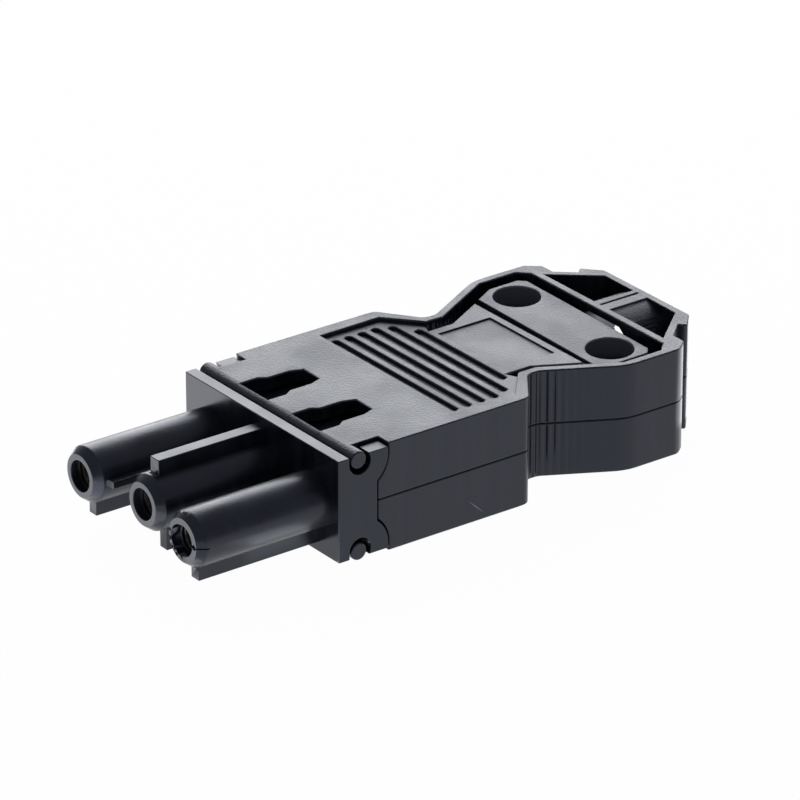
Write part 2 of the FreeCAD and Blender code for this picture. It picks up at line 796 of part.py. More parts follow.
def make_upper_shell():
    """Upper half: adds the label field and the strain-relief tongue with its film hinge and screw tubes."""
    body = make_shell("upper_shell", upside_down=False)
    for side, sign in SIDES.items():
        centre = (screw_half * sign, screw_y)
        tube = Round(centre, 2 * tube_half)
        prism(body, f"tube_{side}", "XY", [tube], size("tube_end"), roof_inside + OVERLAP)
        hole = Round(centre, size("screw_hole_diameter"))
        prism(body, f"head_hole_{side}", "XY", [hole], seat_z, shell_top + OVERCUT, cut=True)
        shank = Round(centre, screw_room)
        prism(body, f"shank_hole_{side}", "XY", [shank], 0, seat_z + OVERLAP, cut=True)
    cable_rib(body, "clamp_rib", screw_y + size("clamp_rib_setback"))

    # The slit that frees the tongue follows the rim, from the neck round the head
    inset = size("shell_wall")
    gap = size("tongue_gap")
    outside = plan_half(inset, None, head_inside_y, size("rim_corner"))
    tongue_rear = head_inside_y - size("tongue_rear_gap")
    inside = plan_half(inset + gap, None, tongue_rear, size("tongue_corner"))
    left_outside = [(-x, y) for x, y in reversed(outside)]
    left_inside = [(-x, y) for x, y in inside]
    slit = outside + left_outside + left_inside + list(reversed(inside))
    prism(body, "tongue_slit", "XY", [slit], roof_inside - OVERCUT, shell_top + OVERCUT, cut=True)

    # Film hinge across the tongue, with the flap behind it a little lower
    hinge_half = flare_half(inset + gap / 2, film_hinge_y)
    flap_rear = tongue_rear + size("tongue_rear_gap") / 2
    flap_end = plan_half(inset + gap / 2, None, flap_rear, size("tongue_corner"))[2:]
    flap = both_sides([(hinge_half, film_hinge_y)] + flap_end)
    prism(body, "flap", "XY", [flap], recess_floor - size("flap_drop"), shell_top, cut=True)
    hinge_reach = size("film_hinge_width") / 2
    hinge = box_loop(-hinge_half, hinge_half, film_hinge_y - hinge_reach, film_hinge_y + hinge_reach)
    prism(body, "film_hinge", "XY", [hinge], recess_floor - size("film_hinge_depth"), shell_top, cut=True)

    # Bare label field in front of the hinge
    label_half = neck_half - inset - gap - size("label_side_margin")
    label_rear = film_hinge_y - size("label_setback")
    label = box_loop(-label_half, label_half, label_rear - size("label_length"), label_rear)
    prism(body, "label_field", "XY", [label], recess_floor - size("label_depth"), shell_top, cut=True)
    return body


def make_lower_shell():
    """Lower half: adds the bosses that take the housing screws and the ribs under the cable."""
    body = make_shell("lower_shell", upside_down=True)
    front = screw_y - size("housing_screw_swing_front")
    rear = screw_y + size("housing_screw_swing")
    pilot_end = size("housing_screw_length") - seat_z + size("boss_tip_room")
    for side, sign in SIDES.items():
        x = screw_half * sign
        boss = Stadium((x, front), (x, rear), screw_room + 2 * size("boss_wall"))
        prism(body, f"boss_{side}", "XY", [boss], size("boss_top"), roof_inside + OVERLAP)
        slot = Stadium((x, front), (x, rear), screw_room)
        prism(body, f"pilot_{side}", "XY", [slot], 0, pilot_end, cut=True)
    cable_rib(body, "saddle_front", screw_y - size("clamp_rib_setback"))
    cable_rib(body, "saddle_rear", screw_y + size("clamp_rib_setback"))
    return body


def make_contact(pole):
    """Brass socket: slotted tube, seat flange and the flat tongue that reaches into the terminal cage."""
    body = new_body(f"socket_contact_{pole}")
    x = pole_x(pole)
    tip = contact_tip_y(pole)
    root_y = chamber_front_y + OVERLAP
    blind_y = size("contact_blind_y")
    tube = [
        (contact_r, tip),
        (contact_outer_r, tip),
        (contact_outer_r, root_y),
        (0, root_y),
        (0, blind_y),
        (contact_r, blind_y),
    ]
    turned(body, "tube", "XY", tube, x)
    flange = box_loop(x - tongue_half, x + tongue_half, tongue_bottom, size("flange_top"))
    prism(body, "flange", "XZ", [flange], chamber_front_y, chamber_front_y + size("flange_thickness"))
    tongue_top = tongue_bottom + size("tongue_thickness")
    tongue = box_loop(x - tongue_half, x + tongue_half, tongue_bottom, tongue_top)
    prism(body, "tongue", "XZ", [tongue], chamber_front_y, cage_rear_y + size("tongue_overhang"))
    slot_half = size("contact_slot") / 2
    slot = box_loop(x - slot_half, x + slot_half, tip - OVERCUT, tip + size("contact_slot_length"))
    prism(body, "slots", "XY", [slot], -contact_outer_r - OVERCUT, contact_outer_r + OVERCUT, cut=True)
    return body


def make_spring(pole):
    """Steel over-spring: a slit ring that holds the slotted tube together."""
    body = new_body(f"contact_spring_{pole}")
    x = pole_x(pole)
    front = contact_tip_y(pole) + size("spring_front")
    rear = front + size("spring_length")
    ring = [Round((x, 0), 2 * spring_outer_r), Round((x, 0), 2 * spring_r)]
    prism(body, "ring", "XZ", ring, front, rear)
    slit_half = size("spring_slit") / 2
    slit = box_loop(x - slit_half, x + slit_half, front - OVERCUT, rear + OVERCUT)
    prism(body, "slit", "XY", [slit], 0, spring_outer_r + OVERCUT, cut=True)
    return body


def make_cage(pole):
    """Steel clamp frame round the contact's tongue, with the screw's hole in its thicker top."""
    body = new_body(f"terminal_cage_{pole}")
    x = pole_x(pole)
    outline = box_loop(x - cage_half, x + cage_half, cage_bottom, cage_top)
    opening = box_loop(x - clamp_half, x + clamp_half, cage_bottom + size("cage_wall"), clamp_roof)
    prism(body, "frame", "XZ", [outline, opening], cage_front_y, cage_rear_y)
    hole = Round((x, terminal_screw_y), size("terminal_screw_diameter") + 2 * size("fit_gap"))
    prism(body, "screw_hole", "XY", [hole], 0, cage_top + OVERCUT, cut=True)
    return body


def make_guard(pole):
    """Thin leaf between screw tip and wire, hooked up in front of the cage and flared up at the rear."""
    body = new_body(f"wire_guard_{pole}")
    x = pole_x(pole)
    thick = size("guard_thickness")
    front = cage_front_y - size("fit_gap") - thick
    low = guard_top - thick
    bend = cage_rear_y + size("guard_overhang")
    lip = size("guard_lip")
    profile = [
        (front, low),
        (bend, low),
        (bend + lip, low + lip),
        (bend + lip - thick * DIAGONAL, low + lip + thick * DIAGONAL),
        (bend - thick * BEND_INSIDE, guard_top),
        (front + thick, guard_top),
        (front + thick, guard_top + size("guard_hook")),
        (front, guard_top + size("guard_hook")),
    ]
    half = tongue_half - size("fit_gap")
    prism(body, "leaf", "YZ", [profile], x - half, x + half)
    return body


def make_screw(label, x, y, shank, tip, seat, head, head_height):
    """Screw with a cheese head, standing upright at a place in plan."""
    body = new_body(label)
    top = seat + head_height
    profile = [(0, tip), (shank / 2, tip), (shank / 2, seat), (head / 2, seat), (head / 2, top), (0, top)]
    turned(body, "screw", "XZ", profile, x, level=-y)
    return body


def make_terminal_screw(pole):
    """Clamp screw with a driver slot right across its head."""
    x = pole_x(pole)
    y = terminal_screw_y
    head = size("terminal_screw_head")
    height = size("terminal_screw_head_height")
    shank = size("terminal_screw_diameter")
    body = make_screw(f"terminal_screw_{pole}", x, y, shank, guard_top, cage_top, head, height)
    half = size("driver_slot") / 2
    slot = box_loop(x - head, x + head, y - half, y + half)
    top = cage_top + height
    prism(body, "slot", "XY", [slot], top - size("driver_slot_depth"), top + OVERCUT, cut=True)
    return body


def make_housing_screw(side):
    """Strain-relief screw with a cross recess in its head."""
    x = screw_half * SIDES[side]
    y = screw_y
    head = size("screw_hole_diameter") - 2 * size("housing_screw_head_gap")
    height = size("housing_screw_head_height")
    shank = size("housing_screw_diameter")
    tip = seat_z - size("housing_screw_length")
    body = make_screw(f"housing_screw_{side}", x, y, shank, tip, seat_z, head, height)
    half = size("driver_slot") / 2
    reach = size("driver_cross") / 2
    low = seat_z + height - size("driver_cross_depth")
    high = seat_z + height + OVERCUT
    prism(body, "cross_slot", "XY", [box_loop(x - reach, x + reach, y - half, y + half)], low, high, cut=True)
    prism(body, "cross_bar", "XY", [box_loop(x - half, x + half, y - reach, y + reach)], low, high, cut=True)
    return body


def make_pieces():
    """Every sub-part of the connector."""
    pieces = [make_carrier(), make_upper_shell(), make_lower_shell()]
    for pole in POLES:
        for make in (make_contact, make_spring, make_cage, make_guard, make_terminal_screw):
            pieces.append(make(pole))
    for side in SIDES:
        pieces.append(make_housing_screw(side))
    return pieces


def check(pieces):
    """Stop before anything is written if an object failed or a piece has no sound solid."""
    doc.recompute()
    for item in doc.Objects:
        if "Invalid" in item.State or "Error" in item.State:
            raise RuntimeError(f"{item.Label}: {item.State}")
    for piece in pieces:
        if piece.Shape.isNull() or not piece.Shape.isValid() or len(piece.Shape.Solids) != 1:
            raise RuntimeError(f"{piece.Label}: no single sound solid")


pieces = make_pieces()
check(pieces)
os.makedirs("parts", exist_ok=True)
for piece in pieces:
    piece.Shape.exportStep(f"parts/{piece.Label}.step")
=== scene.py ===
# %% [markdown]
# # A three-pole installation connector in black polyamide
#
# The object is the socket half of a small mains connector. A carrier holds three round sleeves with
# brass sockets in them, and two half shells hinge on the carrier and close round the cable. The CAD
# frame already has every moulding at its real size, so this lesson has four jobs: light the connector
# like a product on a white table, give each piece the surface of its real material, put in the wear of
# this one specimen, and soften the knife-sharp edges that no injection mould can make.

# %% Load the CAD frame
import json
import math

import bmesh
import bpy
from mathutils import Matrix, Vector


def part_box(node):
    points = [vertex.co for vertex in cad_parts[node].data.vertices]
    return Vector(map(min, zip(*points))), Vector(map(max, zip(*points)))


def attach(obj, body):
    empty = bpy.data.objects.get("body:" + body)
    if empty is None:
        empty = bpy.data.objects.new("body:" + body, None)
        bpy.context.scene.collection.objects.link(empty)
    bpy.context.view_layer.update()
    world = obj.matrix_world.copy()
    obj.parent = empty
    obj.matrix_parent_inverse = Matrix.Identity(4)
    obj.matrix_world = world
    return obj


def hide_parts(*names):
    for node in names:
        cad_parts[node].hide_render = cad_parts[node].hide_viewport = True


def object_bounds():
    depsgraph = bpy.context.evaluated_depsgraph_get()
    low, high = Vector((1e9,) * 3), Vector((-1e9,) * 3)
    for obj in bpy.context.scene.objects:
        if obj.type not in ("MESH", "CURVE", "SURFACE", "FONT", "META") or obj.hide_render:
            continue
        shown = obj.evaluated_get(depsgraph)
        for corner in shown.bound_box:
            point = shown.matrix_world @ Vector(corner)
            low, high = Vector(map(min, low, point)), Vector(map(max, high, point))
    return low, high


MM = 0.001

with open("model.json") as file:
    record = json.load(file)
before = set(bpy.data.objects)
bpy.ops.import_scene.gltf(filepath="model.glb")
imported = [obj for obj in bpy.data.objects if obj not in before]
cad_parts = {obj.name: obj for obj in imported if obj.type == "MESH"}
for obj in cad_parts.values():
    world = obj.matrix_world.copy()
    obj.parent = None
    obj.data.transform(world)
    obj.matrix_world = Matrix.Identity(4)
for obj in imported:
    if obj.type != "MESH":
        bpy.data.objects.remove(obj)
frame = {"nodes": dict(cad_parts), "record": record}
cad_nodes = frame["nodes"]
cad_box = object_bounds()
print("CAD nodes:", len(cad_nodes), "box:", [list(corner) for corner in cad_box])

# %% [markdown]
# ## Where the camera stands
#
# The picture was taken from the front right, about 25 degrees above the table, with a long lens: lines
# that run along the connector hardly converge. The azimuth, elevation and distance below were found by
# matching the pole pitch and corners of the plate, the grip field and the shells, so the camera is
# built from those angles and not aimed by eye. A small shift of the lens moves the connector to its
# place in the frame without turning the camera, so the perspective stays as it was found.

# %% Camera
VIEW_TARGET = Vector((0.0, -0.7, 7.42)) * MM
VIEW_AZIMUTH = math.radians(53.455)
VIEW_ELEVATION = math.radians(25.379)
VIEW_ROLL = math.radians(-0.037)
VIEW_DISTANCE = 664 * MM
LENS_LENGTH = 264.1
SENSOR_WIDTH = 36.0
LENS_SHIFT = (0.0116, 0.0238)

towards_camera = Vector((
    math.sin(VIEW_AZIMUTH) * math.cos(VIEW_ELEVATION),
    -math.cos(VIEW_AZIMUTH) * math.cos(VIEW_ELEVATION),
    math.sin(VIEW_ELEVATION),
))
level_right = Vector((math.cos(VIEW_AZIMUTH), math.sin(VIEW_AZIMUTH), 0))
level_up = towards_camera.cross(level_right)
view_right = level_right * math.cos(VIEW_ROLL) + level_up * math.sin(VIEW_ROLL)
view_up = level_up * math.cos(VIEW_ROLL) - level_right * math.sin(VIEW_ROLL)

bpy.ops.object.camera_add()
camera = bpy.context.object
camera.name = "photo_camera"
camera.matrix_world = (
    Matrix.Translation(VIEW_TARGET + towards_camera * VIEW_DISTANCE)
    @ Matrix((view_right, view_up, towards_camera)).transposed().to_4x4()
)
camera.data.sensor_width = SENSOR_WIDTH
camera.data.lens = LENS_LENGTH
camera.data.shift_x, camera.data.shift_y = LENS_SHIFT
bpy.context.scene.camera = camera
print("camera stands at", [round(value, 4) for value in camera.location])

# %% [markdown]
# ## Colours and nodes
#
# Shaders work with linear values. Those could be typed in as they are, but nobody can picture them, so
# colours are written as sRGB hex values, as a picker shows them, and one function turns them into
# linear ones. Another small function adds a shader node: its settings go in as keywords, and each input
# gets either a plain value or a link from another node's output.

# %% Colour and node helpers
MID_GREY = "808080"


def linear(hex_colour):
    """Linear RGBA of an sRGB hex colour such as 1A2B3C."""
    channels = [int(hex_colour[index:index + 2], 16) / 255 for index in (0, 2, 4)]
    return [c / 12.92 if c <= 0.04045 else ((c + 0.055) / 1.055) ** 2.4 for c in channels] + [1.0]


def add_node(tree, kind, inputs=None, **settings):
    """Add one node with its settings, then fill its inputs with values or links."""
    node = tree.nodes.new(kind)
    for name, value in settings.items():
        setattr(node, name, value)
    for key, value in (inputs or {}).items():
        if isinstance(value, bpy.types.NodeSocket):
            tree.links.new(value, node.inputs[key])
        else:
            node.inputs[key].default_value = value
    return node


def new_material(name):
    """Empty node material, returned with its tree."""
    material = bpy.data.materials.new(name)
    material.use_nodes = True
    material.node_tree.nodes.clear()
    return material, material.node_tree


print("a mid grey on the screen is", round(linear(MID_GREY)[0], 3), "in linear light")

# %% [markdown]
# ## Table and light
#
# The real scene is a white table in a light tent. The strongest light comes from low behind and to the
# left: it is what turns the black top faces a light grey, because plastic mirrors more at a flat angle.
# The sides mirror the white table and stay dark. So one big soft lamp stands where the top faces
# reflect it, and the rest of the tent is dim. A table bright enough to look white would throw too much
# light on the object, so its material is white only to the camera and in reflections, and keeps a trace
# of the object's shadow.

# %% Table
WHITE = "FFFFFF"
PAPER_WHITE = "EFEFEF"
FLOOR_SIZE = 4.0
SHADOW_SHARE = 0.02

bpy.ops.object.select_all(action="DESELECT")
bpy.ops.mesh.primitive_plane_add(size=FLOOR_SIZE)
floor = bpy.context.object
floor.name = "white_table"

# Matt white paper: even and almost shadowless to the eye, so that the black object stands out.
floor_material, tree = new_material("white_table_paper")
paper = add_node(tree, "ShaderNodeBsdfDiffuse", {"Color": linear(PAPER_WHITE)})
glow = add_node(tree, "ShaderNodeEmission", {"Color": linear(WHITE), "Strength": 1.0})
light_path = add_node(tree, "ShaderNodeLightPath")
seen = add_node(
    tree, "ShaderNodeMath",
    {0: light_path.outputs["Is Camera Ray"], 1: light_path.outputs["Is Glossy Ray"]}, operation="MAXIMUM",
)
share = add_node(tree, "ShaderNodeMath", {0: seen.outputs[0], 1: 1 - SHADOW_SHARE}, operation="MULTIPLY")
table_top = add_node(
    tree, "ShaderNodeMixShader", {0: share.outputs[0], 1: paper.outputs[0], 2: glow.outputs[0]},
)
add_node(tree, "ShaderNodeOutputMaterial", {"Surface": table_top.outputs[0]})
floor.data.materials.append(floor_material)
print("table of", FLOOR_SIZE, "m in", floor_material.name)

# %% Tent and softbox
TENT_WHITE = "F2F5FF"
TENT_STRENGTH = 0.35
SOFTBOX_PLACE = Vector((-0.48, 0.36, 0.285))
SOFTBOX_WIDTH = 0.80
SOFTBOX_HEIGHT = 0.53
SOFTBOX_WATTS = 5.8

world = bpy.data.worlds.new("light_tent")
world.use_nodes = True
bpy.context.scene.world = world
tent = world.node_tree.nodes["Background"]
tent.inputs["Color"].default_value = linear(TENT_WHITE)
tent.inputs["Strength"].default_value = TENT_STRENGTH

bpy.ops.object.light_add(type="AREA", location=SOFTBOX_PLACE)
softbox = bpy.context.object
softbox.name = "back_softbox"
softbox.data.shape = "RECTANGLE"
softbox.data.size = SOFTBOX_WIDTH
softbox.data.size_y = SOFTBOX_HEIGHT
softbox.data.energy = SOFTBOX_WATTS
softbox.rotation_euler = (VIEW_TARGET - SOFTBOX_PLACE).to_track_quat("-Z", "Y").to_euler()
bpy.context.scene.view_settings.view_transform = "Standard"
print("softbox stands", round((SOFTBOX_PLACE - VIEW_TARGET).length, 3), "m away")

# %% [markdown]
# ## Bright spots of the table
#
# A table in a light tent isn't lit evenly: it is brightest in front of the connector, beside the
# sleeves and behind the collar, and the sleeves, the plate and the rear edge mirror those spots. A
# brighter floor would lift every wall at once, so each spot is a flat lamp of its own. It lies just
# above the table, shines upwards and is hidden from the camera. A lamp's power is its radiance times pi
# times its area, so the table below gives radiances, which can be compared with the table's own white
# of 1.

# %% Glow patches
GLOW_HEIGHT = 0.2 * MM
SLEEVE_LENGTH = 17.8 * MM
SHINE_UP = (math.pi, 0, 0)
sleeve_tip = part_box("contact_carrier")[0][1]
plate_front = sleeve_tip + SLEEVE_LENGTH
rear_end = cad_box[1][1]
GLOW_PATCHES = (
    # name, from left to right and from near to far in metres, radiance
    ("front", (-0.12, 0.0135), (sleeve_tip - 0.10, sleeve_tip), 1.2),
    ("left", (-0.12, -0.015), (sleeve_tip, plate_front), 1.4),
    ("right", (0.0137, 0.022), (sleeve_tip + 0.010, plate_front), 1.4),
    ("behind", (-0.03, 0.02), (rear_end, rear_end + 0.06), 1.2),
)
for name, (left, right), (near, far), radiance in GLOW_PATCHES:
    middle = ((left + right) / 2, (near + far) / 2, GLOW_HEIGHT)
    bpy.ops.object.light_add(type="AREA", location=middle, rotation=SHINE_UP)
    patch = bpy.context.object
    patch.name = f"table_glow_{name}"
    patch.data.shape = "RECTANGLE"
    patch.data.size = right - left
    patch.data.size_y = far - near
    patch.data.energy = radiance * math.pi * (right - left) * (far - near)
    patch.visible_camera = False
    print(patch.name, "gives", round(patch.data.energy, 3), "W")

# %% [markdown]
# ## Black polyamide
#
# Shells and carrier are moulded from black polyamide: a dark grey rather than a true black, with a
# satin sheen. The shells' mould was spark-eroded, which leaves a fine grit on level faces, while the
# walls that slid out of the mould came out smoother, with faint streaks along Z, the way they moved.
# The carrier has little grit, and its smoothest faces look along Y, such as the plate's front. Each
# wall could have a material of its own, but one function that reads which way a face looks makes both
# plastics: from that come the roughness, the strength of the grit and the choice of clouds or streaks.
# Clouds and streaks are drawn at about their real size. Real grit is finer than a pixel of the picture,
# so it is drawn coarser and deeper than it is, until it shows.

# %% Polyamide function
CLOUD_MM = 5.0
STREAK_MM = 1.2
STREAK_STRETCH = 20
MOTTLE_DETAIL = 3.0
GRIT_DETAIL = 2.0
MOTTLE_LOW = 0.35
MOTTLE_HIGH = 0.65
SHEEN_SPREAD = 0.05
POLYAMIDE_IOR = 1.53
COOL_GLOSS = "E2EAFF"


def polyamide(name, dark, light, axis, along, across, grit_mm, grit_depth_mm):
    """Moulded black polyamide: faces that look along an axis have one roughness, the others another."""
    material, tree = new_material(name)
    surface = add_node(tree, "ShaderNodeTexCoord")
    place = surface.outputs["Object"]
    cloud = add_node(
        tree, "ShaderNodeTexNoise",
        {"Vector": place, "Scale": 1 / (CLOUD_MM * MM), "Detail": MOTTLE_DETAIL},
    )
    stretched = add_node(tree, "ShaderNodeMapping", {"Vector": place, "Scale": (1, 1, 1 / STREAK_STRETCH)})
    streak = add_node(
        tree, "ShaderNodeTexNoise",
        {"Vector": stretched.outputs[0], "Scale": 1 / (STREAK_MM * MM), "Detail": MOTTLE_DETAIL},
    )
    normal = add_node(tree, "ShaderNodeSeparateXYZ", {0: surface.outputs["Normal"]})
    level = add_node(tree, "ShaderNodeMath", {0: normal.outputs["Z"]}, operation="ABSOLUTE", name="level")
    facing = add_node(tree, "ShaderNodeMath", {0: normal.outputs[axis]}, operation="ABSOLUTE")
    mottle = add_node(
        tree, "ShaderNodeMix",
        {"Factor": level.outputs[0], "A": streak.outputs["Fac"], "B": cloud.outputs["Fac"]},
    )
    tint = add_node(tree, "ShaderNodeValToRGB", {"Fac": mottle.outputs[0]})
    darkest, lightest = tint.color_ramp.elements
    darkest.position, darkest.color = MOTTLE_LOW, linear(dark)
    lightest.position, lightest.color = MOTTLE_HIGH, linear(light)
    polish = add_node(
        tree, "ShaderNodeMapRange", {"Value": facing.outputs[0], "To Min": across, "To Max": along},
    )
    cloudy = add_node(
        tree, "ShaderNodeMapRange",
        {
            "Value": mottle.outputs[0], "From Min": MOTTLE_LOW, "From Max": MOTTLE_HIGH,
            "To Min": -SHEEN_SPREAD, "To Max": SHEEN_SPREAD,
        },
    )
    sheen = add_node(
        tree, "ShaderNodeMath", {0: polish.outputs["Result"], 1: cloudy.outputs["Result"]}, operation="ADD",
    )
    grit = add_node(
        tree, "ShaderNodeTexNoise", {"Vector": place, "Scale": 1 / (grit_mm * MM), "Detail": GRIT_DETAIL},
    )
    bump = add_node(
        tree, "ShaderNodeBump",
        {"Height": grit.outputs["Fac"], "Distance": grit_depth_mm * MM, "Strength": level.outputs[0]},
    )
    plastic = add_node(
        tree, "ShaderNodeBsdfPrincipled",
        {
            "Base Color": tint.outputs["Color"],
            "Roughness": sheen.outputs[0],
            "IOR": POLYAMIDE_IOR,
            "Specular Tint": linear(COOL_GLOSS),
            "Normal": bump.outputs["Normal"],
        },
    )
    add_node(tree, "ShaderNodeOutputMaterial", {"Surface": plastic.outputs[0]})
    return material


print("clouds are", CLOUD_MM, "mm wide, streaks", STREAK_MM, "by", STREAK_MM * STREAK_STRETCH, "mm")

# %% The two plastics
# The eye sees a matt, lightly grained top that goes pale against the light, over smooth dark walls.
shell_polyamide = polyamide(
    "spark_eroded_black_polyamide", dark="080A0E", light="191D24",
    axis="Z", along=0.42, across=0.24, grit_mm=0.2, grit_depth_mm=0.070,
)
# The eye sees satin sleeves with long soft highlights, and a plate that mirrors them.
carrier_polyamide = polyamide(
    "satin_black_polyamide", dark="07090D", light="161A21",
    axis="Y", along=0.20, across=0.34, grit_mm=0.35, grit_depth_mm=0.012,
)
print("plastics:", shell_polyamide.name, carrier_polyamide.name)

# %% [markdown]
# ## Painted light in the screw tubes, and a scratch
#
# The screw tubes are painted a lighter grey inside, from their mouths down: painted light, standing in for
# the light that falls into them. The lower shell has a light scratch on its right side. A painted texture
# could hold such marks, but a few soft-edged ellipsoids in Object coordinates do as well: a Mapping node
# carries each one to its place, and the distance from its middle says how much of the mark's colour lies
# over the plastic.

# %% Painted light in the tubes, and scratch
# A Mix node has a set of sockets for each kind of data, and these are the places of the colour ones.
MIX_FACTOR, MIX_UNDER, MIX_OVER, MIX_RESULT = 0, 6, 7, 2


def mark(material, colour, centre, half_size, edge, turn=(0, 0, 0)):
    """Lay an ellipsoid of another colour over a material, at full cover inside a share of its size."""
    tree = material.node_tree
    plastic = next(node for node in tree.nodes if node.type == "BSDF_PRINCIPLED")
    under = plastic.inputs["Base Color"].links[0].from_socket
    place = add_node(tree, "ShaderNodeTexCoord").outputs["Object"]
    local = add_node(
        tree, "ShaderNodeMapping",
        {"Vector": place, "Location": centre, "Rotation": turn, "Scale": half_size}, vector_type="TEXTURE",
    )
    away = add_node(tree, "ShaderNodeVectorMath", {0: local.outputs[0]}, operation="LENGTH")
    cover = add_node(
        tree, "ShaderNodeMapRange", {"Value": away.outputs["Value"], "From Min": 1.0, "From Max": edge},
    )
    laid = add_node(
        tree, "ShaderNodeMix",
        {MIX_FACTOR: cover.outputs["Result"], MIX_UNDER: under, MIX_OVER: linear(colour)}, data_type="RGBA",
    )
    tree.links.new(laid.outputs[MIX_RESULT], plastic.inputs["Base Color"])


FLAP_TOP = 12.65 * MM
# Painted light: the screw tubes' walls are painted a lighter grey from their mouths down, standing in for
# the light that falls into them.
PAINTED_TUBE_LIGHT_GREY = "4A4D52"
PAINTED_TUBE_LIGHT_HALF = Vector((2.95, 2.95, 8)) * MM
PAINTED_TUBE_LIGHT_EDGE = 0.97
SCRATCH_GREY = "A8ABB0"
SCRATCH_MIDDLE = Vector((14.65, 0.40, 1.79)) * MM
SCRATCH_HALF = Vector((0.3, 1.65, 0.09)) * MM
SCRATCH_TURN = (math.radians(-42.35), 0, 0)
SCRATCH_EDGE = 0.2
for side in ("left", "right"):
    low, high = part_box(f"housing_screw_{side}")
    tube_mouth = ((low[0] + high[0]) / 2, (low[1] + high[1]) / 2, FLAP_TOP)
    mark(shell_polyamide, PAINTED_TUBE_LIGHT_GREY, tube_mouth, PAINTED_TUBE_LIGHT_HALF, PAINTED_TUBE_LIGHT_EDGE)
    print("painted_light in the", side, "tube at", [round(value, 4) for value in tube_mouth])
mark(shell_polyamide, SCRATCH_GREY, SCRATCH_MIDDLE, SCRATCH_HALF, SCRATCH_EDGE, turn=SCRATCH_TURN)

# %% [markdown]
# ## Cutter marks
#
# Behind the neck the walls flare out again, and on the real shells that curve carries faint upright
# bands. They look like the steps of the cutter that milled the mould. They could be modelled as flutes,
# but they are too shallow for that, so a wave across Y tilts the normals near the neck. It fades out
# along the flare and leaves level faces alone. The waves are drawn deeper than such marks are, so that
# they show.

# %% Cutter marks on the flares
CUTTER_STEP = 0.80 * MM
CUTTER_DEPTH = 0.135 * MM
FLARE_START = Vector((10.4, 13.4, 6.65)) * MM
FLARE_REACH = Vector((3.5, 8.0, 30.0)) * MM
FADE_FROM = 0.2
WALL_LIMIT = 0.3
# A Wave texture of scale 1 has 20 / (2 pi) bands in a metre.
WAVE_BANDS = 20


def cutter_marks(material, centre, half_size):
    """Ripple a material's walls in upright passes round a place, fading out from it."""
    tree = material.node_tree
    first = next(node for node in tree.nodes if node.type == "BUMP" and not node.inputs["Normal"].is_linked)
    place = add_node(tree, "ShaderNodeTexCoord").outputs["Object"]
    local = add_node(
        tree, "ShaderNodeMapping",
        {"Vector": place, "Location": centre, "Scale": half_size}, vector_type="TEXTURE",
    )
    away = add_node(tree, "ShaderNodeVectorMath", {0: local.outputs[0]}, operation="LENGTH")
    close = add_node(
        tree, "ShaderNodeMapRange", {"Value": away.outputs["Value"], "From Min": 1.0, "From Max": FADE_FROM},
    )
    level = tree.nodes["level"].outputs[0]
    wall = add_node(
        tree, "ShaderNodeMapRange",
        {"Value": level, "From Min": WALL_LIMIT, "From Max": 0.0, "To Max": close.outputs["Result"]},
    )
    passes = add_node(
        tree, "ShaderNodeTexWave",
        {"Vector": place, "Scale": 2 * math.pi / (WAVE_BANDS * CUTTER_STEP)}, bands_direction="Y",
    )
    ridges = add_node(
        tree, "ShaderNodeBump",
        {"Height": passes.outputs["Fac"], "Distance": CUTTER_DEPTH, "Strength": wall.outputs["Result"]},
    )
    tree.links.new(ridges.outputs["Normal"], first.inputs["Normal"])


for sign in (-1, 1):
    cutter_marks(shell_polyamide, FLARE_START * Vector((sign, 1, 1)), FLARE_REACH)
print("shell material has", len(shell_polyamide.node_tree.nodes), "nodes")

# %% [markdown]
# ## Plated metals
#
# The inside is metal: tin-plated brass sockets, rolled spring steel and zinc-plated clamps and screws.
# All three are bright greys that differ in warmth and in how sharply they mirror. Each could have a
# tree of nodes of its own, but the same cloudy tarnish over two tones of grey suits them all, so one
# function serves them.

# %% Metal materials
TARNISH_MM = 1.5
SMOOTHER = 0.06
ROUGHER = 0.08


def plated_metal(name, dark, light, roughness):
    """Drawn, rolled or plated metal with a cloudy tarnish."""
    material, tree = new_material(name)
    place = add_node(tree, "ShaderNodeTexCoord").outputs["Object"]
    cloud = add_node(
        tree, "ShaderNodeTexNoise",
        {"Vector": place, "Scale": 1 / (TARNISH_MM * MM), "Detail": MOTTLE_DETAIL},
    )
    tint = add_node(tree, "ShaderNodeValToRGB", {"Fac": cloud.outputs["Fac"]})
    darkest, lightest = tint.color_ramp.elements
    darkest.color = linear(dark)
    lightest.color = linear(light)
    sheen = add_node(
        tree, "ShaderNodeMapRange",
        {"Value": cloud.outputs["Fac"], "To Min": roughness - SMOOTHER, "To Max": roughness + ROUGHER},
    )
    metal = add_node(
        tree, "ShaderNodeBsdfPrincipled",
        {"Base Color": tint.outputs["Color"], "Metallic": 1.0, "Roughness": sheen.outputs["Result"]},
    )
    add_node(tree, "ShaderNodeOutputMaterial", {"Surface": metal.outputs[0]})
    return material


# A soft, slightly warm silver that catches the light deep in the sleeves.
tinned_brass = plated_metal("tinned_brass", "9A9995", "C4C2BD", 0.38)
# A cool, darker and sharper grey, as rolling leaves it.
spring_steel = plated_metal("rolled_spring_steel", "8C8F94", "B4B6BA", 0.28)
# The brightest grey, with a hint of green.
zinc_plate = plated_metal("zinc_plated_steel", "A4A79F", "CDCFC9", 0.32)
METAL_FINISH = {
    "socket_contact": tinned_brass,
    "contact_spring": spring_steel,
    "terminal_cage": zinc_plate,
    "wire_guard": spring_steel,
    "terminal_screw": zinc_plate,
    "housing_screw": zinc_plate,
}
for name, node in cad_nodes.items():
    for kind, finish in METAL_FINISH.items():
        if name.startswith(kind):
            node.data.materials.clear()
            node.data.materials.append(finish)
print("metals:", sorted({finish.name for finish in METAL_FINISH.values()}))

